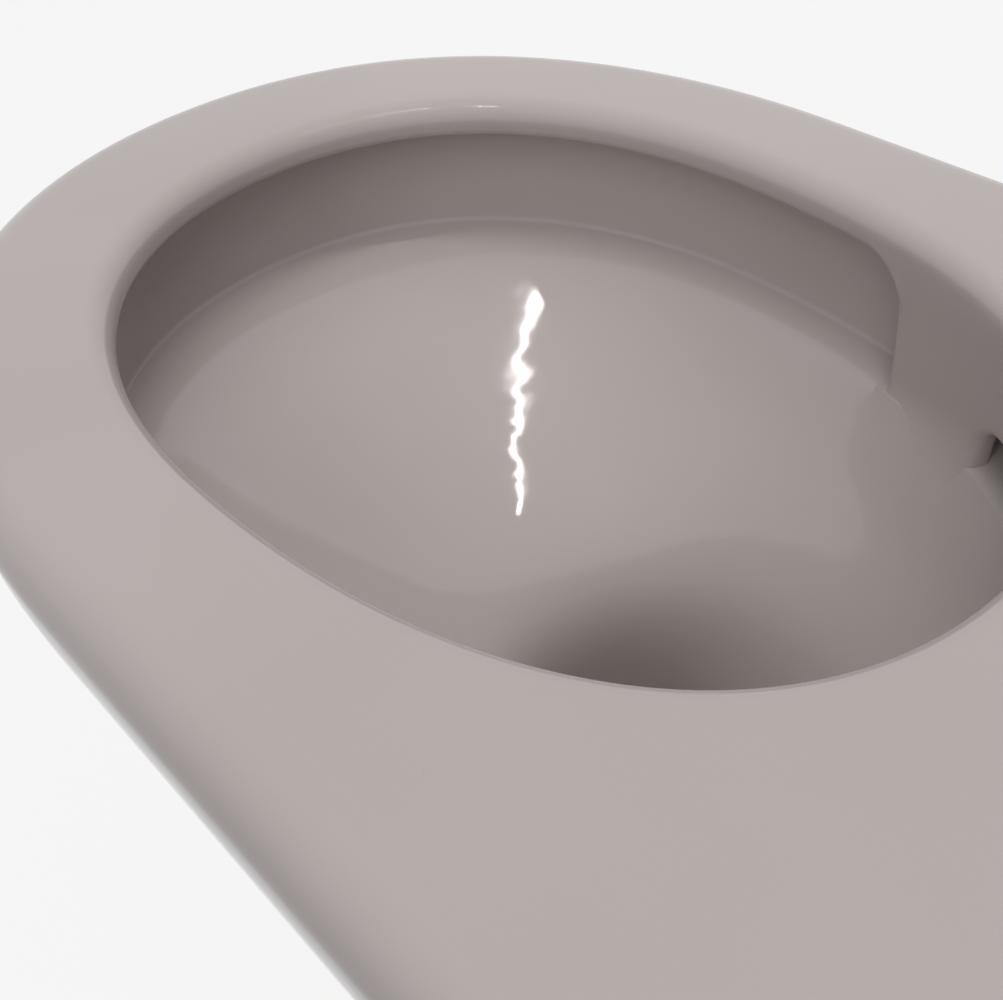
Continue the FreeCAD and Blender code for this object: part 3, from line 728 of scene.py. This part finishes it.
    def build(self) -> bpy.types.Object:
        """Builds the pan's mesh, closed and shaded smooth."""
        inner = self.inner_rows()
        join = inner[0]
        core = join.copy()
        core[:, 2] -= self.core_depth
        outer = self.skin("pan_glaze", [*self.outer_rows(len(join) - 1), join, core], True, True)
        for cutter in self.cutters():
            LOG.info("cutting %s", cutter.name)
            carve(outer, cutter)
        self.drop_core(outer, float(core[0, 2]))
        bowl = self.skin("pan_bowl", inner, False, True)
        take(outer)
        bowl.select_set(True)
        bpy.ops.object.join()
        with editing(outer, start="SELECT"):
            bpy.ops.mesh.remove_doubles(threshold=JOIN_WELD)
            bpy.ops.mesh.normals_make_consistent(inside=False)
        bpy.ops.object.shade_smooth_by_angle(angle=math.radians(SMOOTH_ANGLE))
        return outer

    def drop_core(self, item: bpy.types.Object, floor: float) -> None:
        """Deletes the plug that closed the opening while the holes were cut.

        Args:
            item: The outside, with the plug in it.
            floor: The height of the plug's underside.
        """
        slack = 1e-4
        turn = np.linspace(0, 2, self.rows.core_plan)
        plan = self.mouth.outline(turn, self.rim_join + slack)
        pick_nothing(item, "FACE")
        for face in item.data.polygons:
            middle = face.center
            half = float(np.interp(middle.y, plan[:, 1], plan[:, 0], left=-1, right=-1))
            face.select = abs(middle.x) <= half and floor - slack < middle.z < self.mouth.rim - slack
        with editing(item):
            bpy.ops.mesh.delete(type="FACE")

    def cutters(self) -> list[bpy.types.Object]:
        """Makes what is cut from the outside: notches, stud and seat holes, and the pipes' sockets."""
        found = []
        rim, inlet = self.mouth.rim, self.inlet_height
        for side in Side:
            found.append(self.notch(side))
            x = side.value * self.stud_half_spacing
            found.append(round_bar(
                "stud_hole", self.stud_hole_radius,
                Vector((x, self.flange_front - self.stud_hole_past, 0)), Vector((x, self.over, 0)),
            ))
            x = side.value * self.seat_half_spacing
            found.append(round_bar(
                "seat_hole", self.seat_hole_radius,
                Vector((x, -self.seat_from_wall, rim - self.seat_hole_depth)),
                Vector((x, -self.seat_from_wall, rim + self.over)),
            ))
        found.append(round_bar(
            "inlet", self.inlet_radius,
            Vector((0, self.outside.back - self.inlet_depth, inlet)), Vector((0, self.over, inlet)),
        ))
        found.append(self.outlet_pocket())
        return found

    def notch(self, side: Side) -> bpy.types.Object:
        """The block that cuts one side's notch, with its two front edges rounded."""
        clear_selection()
        front = self.flange_front - self.notch_length
        outer = self.outside.half_width + self.over
        middle = (side.value * (self.notch_inner + outer) / 2, (front + self.flange_front) / 2, 0.0)
        size = (outer - self.notch_inner, self.notch_length, 2 * self.notch_half_height)
        bpy.ops.mesh.primitive_cube_add(size=1, location=middle, scale=size)
        block = bpy.context.object
        block.name = "notch"
        settle(block)
        pick_nothing(block, "EDGE")
        corners = block.data.vertices
        slack = 1e-5
        for line in block.data.edges:
            start, end = (corners[index].co for index in line.vertices)
            at_front = abs(start.y - front) < slack and abs(end.y - front) < slack
            line.select = at_front and abs(start.x - end.x) > slack
        with editing(block):
            bpy.ops.mesh.bevel(offset=self.notch_radius, segments=self.notch_segments, profile=0.5)
        return block

    def outlet_pocket(self) -> bpy.types.Object:
        """The round pocket round the waste spigot, with the spigot and its bore left standing."""
        front = self.outside.back - self.outlet_pocket_depth

        def bar(name: str, radius: float, start: float, end: float) -> bpy.types.Object:
            """A round bar on the outlet's axis, from one place along Y to another."""
            height = self.outlet_height
            return round_bar(name, radius, Vector((0, start, height)), Vector((0, end, height)), PIPE_SIDES)

        pocket = bar("outlet_pocket", self.outlet_pocket_radius, front, self.over)
        spigot = bar("spigot", self.spigot_radius, front - self.over, self.spigot_end)
        bore = bar("spigot_bore", self.spigot_bore, front - self.over / 2, self.over)
        carve(spigot, bore)
        carve(pocket, spigot)
        return pocket


# Shader maths

class Signal:
    """A socket's value, with the operators that add Math nodes."""

    def __init__(self, graph: "Graph", socket: bpy.types.NodeSocket) -> None:
        """Holds the graph and the socket that gives the value."""
        self.graph = graph
        self.socket = socket

    def maths(self, operation: str, *values: Number) -> "Signal":
        """A Math node on some values."""
        return self.graph.node("ShaderNodeMath", {"operation": operation}, dict(enumerate(values)))

    def __add__(self, other: Number) -> "Signal":
        """This value plus another."""
        return self.maths("ADD", self, other)

    def __rsub__(self, other: Number) -> "Signal":
        """Another value less this one."""
        return self.maths("SUBTRACT", other, self)

    def __mul__(self, other: Number) -> "Signal":
        """This value times another."""
        return self.maths("MULTIPLY", self, other)

    def __truediv__(self, other: Number) -> "Signal":
        """This value over another."""
        return self.maths("DIVIDE", self, other)

    def between(self, low: float, high: float) -> "Signal":
        """0 below one value and 1 above another, with a smooth step between them."""
        return self.graph.node(
            "ShaderNodeMapRange", {"interpolation_type": "SMOOTHSTEP"},
            {"Value": self, "From Min": low, "From Max": high},
        )


class Graph:
    """The nodes of a material or of the world."""

    def __init__(self, owner: Any, shader: str = "Principled BSDF") -> None:
        """Opens the nodes of a new material or world, which start with one shader."""
        owner.use_nodes = True
        self.owner = owner
        self.tree = owner.node_tree
        self.shader = self.tree.nodes[shader]

    def node(
        self, kind: str, settings: Optional[dict[str, Any]] = None,
        inputs: Optional[dict[Any, Any]] = None, output: Any = 0,
    ) -> Signal:
        """Adds a node.

        Args:
            kind: The node's type.
            settings: Its own fields, set first.
            inputs: Values or links for its sockets, by name or number.
            output: The name or number of the output that is wanted.

        Returns:
            The output as a signal.
        """
        made = self.tree.nodes.new(kind)
        for name, value in (settings or {}).items():
            setattr(made, name, value)
        for name, value in (inputs or {}).items():
            self.feed(made.inputs[name], value)
        return Signal(self, made.outputs[output])

    def feed(self, socket: bpy.types.NodeSocket, value: Any) -> None:
        """Links a signal to a socket, or sets the socket's own value."""
        if isinstance(value, Signal):
            self.tree.links.new(value.socket, socket)
        elif isinstance(value, tuple) and len(value) == 3 and socket.type == "RGBA":
            socket.default_value = (*value, 1.0)
        else:
            socket.default_value = value

    def shade(self, **inputs: Any) -> None:
        """Sets or links the shader's sockets: the underscores in a name stand for spaces."""
        for name, value in inputs.items():
            self.feed(self.shader.inputs[name.replace("_", " ")], value)

    def place(self) -> Signal:
        """Where a point lies in the object, in metres."""
        return self.node("ShaderNodeTexCoord", output="Object")

    def axis(self, letter: str) -> Signal:
        """One coordinate of a point in the object."""
        return self.node("ShaderNodeSeparateXYZ", inputs={0: self.place()}, output=letter)

    def noise(self, scale: float, detail: float, roughness: float) -> Signal:
        """Noise of a scale, in waves for each metre."""
        return self.node("ShaderNodeTexNoise", inputs={
            "Vector": self.place(), "Scale": scale, "Detail": detail, "Roughness": roughness,
        })

    def blend(self, share: Number, first: Any, second: Any) -> Signal:
        """A colour between two others."""
        return self.node(
            "ShaderNodeMix", {"data_type": "RGBA"}, {0: share, 6: first, 7: second}, output=2,
        )

    def bump(self, height: Signal, strength: float, distance: float) -> Signal:
        """A normal from a height."""
        return self.node("ShaderNodeBump", inputs={
            "Height": height, "Strength": strength, "Distance": distance,
        })

    def cells(self, scale: float) -> Signal:
        """How far a point lies from the nearest of many scattered ones."""
        return self.node("ShaderNodeTexVoronoi", {"feature": "F1"}, {"Vector": self.place(), "Scale": scale})

    def whiten(self, kind: str, share: float = 1.0) -> None:
        """Shows white to the camera, also by mirrors and through clear pieces. The light stays as it is.

        Args:
            kind: The type of node that gives the white.
            share: How much of the white shows.
        """
        end = self.shader.outputs[0].links[0].to_socket
        rays = self.tree.nodes.new("ShaderNodeLightPath").outputs
        seen = Signal(self, rays["Is Camera Ray"])
        for name in ("Is Glossy Ray", "Is Transmission Ray"):
            seen = seen.maths("MAXIMUM", seen, Signal(self, rays[name]))
        white = self.node(kind, inputs={"Color": WHITE, "Strength": 1.0})
        mixed = self.node("ShaderNodeMixShader", inputs={
            0: seen * share, 1: Signal(self, self.shader.outputs[0]), 2: white,
        })
        self.feed(end, mixed)


# Finishes

@dataclass(frozen=True)
class Glaze:
    """Thick glossy glaze on china: slow tone changes, faint waves, a little dried haze and a few specks.

    A weave is a noise's scale, in waves for each metre, its detail and its roughness.
    The mirror is held back, because the whole studio is white.
    """

    name: str = "china_glaze"
    tone: Colour = (0.545, 0.500, 0.492)
    deep_tone: Colour = (0.520, 0.474, 0.464)
    drift: Weave = (5.0, 3.0, 0.55)
    drift_edge: Span = (0.35, 0.65)
    speck_tone: Colour = (0.16, 0.13, 0.11)
    speck_scale: float = 19.0
    speck_edge: Span = (0.008, 0.016)
    speck_share: float = 0.55
    roughness: float = 0.05
    haze: float = 0.02
    film: Weave = (22.0, 4.0, 0.6)
    film_edge: Span = (0.50, 0.78)
    refraction: float = 1.52
    mirror: float = 0.30
    waves: Weave = (42.0, 1.0, 0.4)
    ripples: Weave = (110.0, 1.0, 0.4)
    ripple_share: float = 0.22
    wave_strength: float = 0.14
    wave_height: float = 0.0012

    def material(self) -> bpy.types.Material:
        """Makes the material."""
        graph = Graph(bpy.data.materials.new(self.name))
        drift = graph.noise(*self.drift).between(*self.drift_edge)
        colour = graph.blend(drift, self.tone, self.deep_tone)
        specks = 1 - graph.cells(self.speck_scale).between(*self.speck_edge)
        colour = graph.blend(specks * self.speck_share, colour, self.speck_tone)
        film = graph.noise(*self.film).between(*self.film_edge)
        ripples = graph.noise(*self.ripples) * self.ripple_share
        waves = graph.noise(*self.waves) + ripples
        graph.shade(
            Base_Color=colour, Roughness=film * self.haze + self.roughness, IOR=self.refraction,
            Specular_IOR_Level=self.mirror,
            Normal=graph.bump(waves, self.wave_strength, self.wave_height),
        )
        return graph.owner


@dataclass(frozen=True)
class Moulded:
    """Moulded plastic or rubber: fine grain in its gloss and surface."""

    name: str
    tone: Colour
    worn_tone: Colour
    roughness: float
    spread: float = 0.10
    grain: float = 900.0
    relief: float = 0.06
    grain_height: float = 0.0004
    grain_make: Span = (2.0, 0.6)
    patches: Weave = (30.0, 3.0, 0.6)
    patch_edge: Span = (0.35, 0.7)

    def material(self) -> bpy.types.Material:
        """Makes the material."""
        graph = Graph(bpy.data.materials.new(self.name))
        patches = graph.noise(*self.patches).between(*self.patch_edge)
        grain = graph.noise(self.grain, *self.grain_make)
        graph.shade(
            Base_Color=graph.blend(patches, self.tone, self.worn_tone),
            Roughness=patches * self.spread + self.roughness,
            Normal=graph.bump(grain, self.relief, self.grain_height),
        )
        return graph.owner


@dataclass(frozen=True)
class ZincPlate:
    """Zinc-plated steel, with a thread along Y where it has a pitch."""

    name: str
    pitch: float = 0.0
    tone: Colour = (0.60, 0.60, 0.585)
    dull_tone: Colour = (0.42, 0.425, 0.43)
    roughness: float = 0.28
    spread: float = 0.16
    spangle: Weave = (260.0, 3.0, 0.65)
    spangle_edge: Span = (0.35, 0.7)
    spangle_share: float = 0.05
    ridge_share: float = 2.0
    relief_height: float = 0.0006
    thread_relief: float = 0.9
    plain_relief: float = 0.25

    def material(self) -> bpy.types.Material:
        """Makes the material."""
        graph = Graph(bpy.data.materials.new(self.name))
        spangle = graph.noise(*self.spangle)
        patches = spangle.between(*self.spangle_edge)
        height = spangle * self.spangle_share
        relief = self.plain_relief
        if self.pitch:
            turns = graph.axis("Y") / self.pitch
            height = height + turns.maths("PINGPONG", turns, 0.5) * self.ridge_share
            relief = self.thread_relief
        graph.shade(
            Base_Color=graph.blend(patches, self.tone, self.dull_tone), Metallic=1.0,
            Roughness=patches * self.spread + self.roughness,
            Normal=graph.bump(height, relief, self.relief_height),
        )
        return graph.owner


@dataclass(frozen=True)
class Foam:
    """Closed-cell foam sheet: small pale cells with darker walls."""

    name: str = "mat_foam"
    tone: Colour = (0.62, 0.62, 0.63)
    cell_tone: Colour = (0.47, 0.47, 0.48)
    cell_scale: float = 620.0
    wall_edge: Span = (0.25, 0.75)
    wall_share: float = 0.7
    soft: Weave = (14.0, 2.0, 0.5)
    soft_share: float = 0.2
    roughness: float = 0.86
    relief: float = 0.35
    relief_height: float = 0.0005

    def material(self) -> bpy.types.Material:
        """Makes the material."""
        graph = Graph(bpy.data.materials.new(self.name))
        walls = graph.cells(self.cell_scale).between(*self.wall_edge)
        soft = graph.noise(*self.soft)
        share = walls * self.wall_share + soft * self.soft_share
        graph.shade(
            Base_Color=graph.blend(share, self.tone, self.cell_tone), Roughness=self.roughness,
            Normal=graph.bump(1 - walls, self.relief, self.relief_height),
        )
        return graph.owner


@dataclass(frozen=True)
class Fittings:
    """The pieces that the drawing gives in full, with the finish of each."""

    thread_pitch: float = 0.00175

    def dress(self) -> None:
        """Gives each drawn piece its finish."""
        white = Moulded("bush_plastic", (0.74, 0.73, 0.70), (0.66, 0.65, 0.62), 0.42).material()
        cap = Moulded(
            "cap_plastic", (0.60, 0.56, 0.55), (0.55, 0.51, 0.50), 0.20,
            spread=0.08, grain=500.0, relief=0.03,
        ).material()
        pipe = Moulded("pipe_plastic", (0.085, 0.088, 0.092), (0.12, 0.122, 0.126), 0.36).material()
        rubber = Moulded("seal_rubber", (0.022, 0.022, 0.022), (0.045, 0.044, 0.043), 0.62).material()
        plain = ZincPlate("zinc_plate").material()
        threaded = ZincPlate("zinc_thread", self.thread_pitch).material()
        finishes = {
            "flush_diffuser": white, "diffuser_ring": rubber, "inlet_seal": rubber, "outlet_seal": rubber,
            "inlet_pipe": pipe, "outlet_pipe": pipe, "sound_pad": Foam().material(),
        }
        for side in Side:
            near = side.name.lower()
            finishes[f"{near}_stud"] = threaded
            finishes[f"{near}_sleeve"] = white
            finishes[f"{near}_washer"] = plain
            finishes[f"{near}_nut"] = plain
            finishes[f"{near}_cap"] = cap
        for node, finish in finishes.items():
            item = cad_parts[node]
            item.data.materials.clear()
            item.data.materials.append(finish)
            LOG.info("dressed %s", node)


# Stage, light and camera

@dataclass(frozen=True)
class Lamp:
    """One area lamp: its place, what it points at, its width and length, and its power in watts.

    It is turned about the vertical by some degrees, and glossy surfaces show it only where it is mirrored.
    """

    name: str
    place: Place
    target: Place
    size: Span
    power: float
    turn: float = 0.0
    mirrored: bool = False
    tint: Colour = (1.0, 0.965, 0.95)

    def hang(self) -> None:
        """Hangs the lamp."""
        data = bpy.data.lights.new(self.name, "AREA")
        data.shape = "RECTANGLE"
        data.size, data.size_y = self.size
        data.energy = self.power
        data.color = self.tint
        item = bpy.data.objects.new(self.name, data)
        item.location = self.place
        aim = (Vector(self.target) - Vector(self.place)).to_track_quat("-Z", "Y").to_matrix()
        item.rotation_euler = (Matrix.Rotation(math.radians(self.turn), 3, "Z") @ aim).to_euler()
        item.visible_glossy = self.mirrored
        bpy.context.scene.collection.objects.link(item)


@dataclass(frozen=True)
class Studio:
    """A pale floor, soft light and the camera of the photograph.

    The tube gives the bright streak in the bowl, and the other lamps are wide and soft.
    """

    lamps: tuple[Lamp, ...] = (
        Lamp("ceiling_tube", (-0.055, -0.059, 2.2), (-0.055, -0.059, 0), (1.40, 0.012), 7, -30.5, True),
        Lamp("ceiling", (-0.3, -0.3, 2.4), (-0.3, -0.3, 0), (2.4, 2.4), 28),
        Lamp("front_left_fill", (-1.9, -1.1, 0.6), (0, -0.25, -0.1), (1.6, 1.6), 9),
        Lamp("behind_camera", (1.60, 0.55, 1.55), (0, -0.40, 0), (2.0, 2.0), 19),
    )
    floor_height: float = -0.260
    floor_gap: float = 0.0005
    floor_size: float = 30.0
    floor_tone: Colour = (0.28, 0.275, 0.27)
    floor_roughness: float = 0.9
    floor_white: float = 0.90
    sky_tone: Colour = (0.94, 0.95, 1.0)
    sky_strength: float = 0.10
    camera_place: Place = (0.22707, -0.05376, 0.31757)
    azimuth: float = 140.65
    elevation: float = 42.72
    roll: float = -4.35
    focal_pixels: float = 1234.41
    image_width: float = 1003.0
    sensor: float = 36.0
    clip_start: float = 0.01

    def floor(self) -> None:
        """Lays a wide pale floor that shows white and keeps a faint shadow."""
        clear_selection()
        place = (0, 0, self.floor_height - self.floor_gap)
        bpy.ops.mesh.primitive_plane_add(size=self.floor_size, location=place)
        floor = bpy.context.object
        floor.name = "floor"
        settle(floor)
        graph = Graph(bpy.data.materials.new("floor_paper"))
        graph.shade(Base_Color=self.floor_tone, Roughness=self.floor_roughness)
        graph.whiten("ShaderNodeEmission", self.floor_white)
        floor.data.materials.append(graph.owner)

    def sky(self) -> None:
        """Sets a soft even sky, which the camera and mirrors see white."""
        world = bpy.data.worlds.new("studio")
        bpy.context.scene.world = world
        graph = Graph(world, "Background")
        graph.shade(Color=self.sky_tone, Strength=self.sky_strength)
        graph.whiten("ShaderNodeBackground")

    def camera(self) -> None:
        """Sets the camera where the photograph was taken from."""
        turn, rise, roll = (math.radians(angle) for angle in (self.azimuth, self.elevation, self.roll))
        level_out = math.cos(rise)
        away = Vector((math.sin(turn) * level_out, -math.cos(turn) * level_out, math.sin(rise)))
        right = Vector((0, 0, 1)).cross(away).normalized()
        up = away.cross(right)
        level = right * math.cos(roll) + up * math.sin(roll)
        rising = up * math.cos(roll) - right * math.sin(roll)
        data = bpy.data.cameras.new("photo_camera")
        data.sensor_fit = "HORIZONTAL"
        data.sensor_width = self.sensor
        data.lens = self.focal_pixels * self.sensor / self.image_width
        data.clip_start = self.clip_start
        item = bpy.data.objects.new("photo_camera", data)
        axes = Matrix((level, rising, away)).transposed().to_4x4()
        item.matrix_world = Matrix.Translation(self.camera_place) @ axes
        bpy.context.scene.collection.objects.link(item)
        bpy.context.scene.camera = item

    def build(self) -> None:
        """Sets up the stage, the light and the camera."""
        bpy.context.scene.view_settings.view_transform = "Standard"
        self.floor()
        self.sky()
        for lamp in self.lamps:
            lamp.hang()
        self.camera()


def main() -> None:
    """Builds the pan, dresses every piece and sets the stage."""
    logging.basicConfig(level=logging.INFO, format="%(message)s")
    pan = Pan(Mouth(), Basin(), Outside(), Rows()).build()
    pan.data.materials.clear()
    pan.data.materials.append(Glaze().material())
    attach(pan, "root")
    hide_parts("pan")
    LOG.info("built %s with %d faces", pan.name, len(pan.data.polygons))
    Fittings().dress()
    Studio().build()


if __name__ == "__main__":
    main()
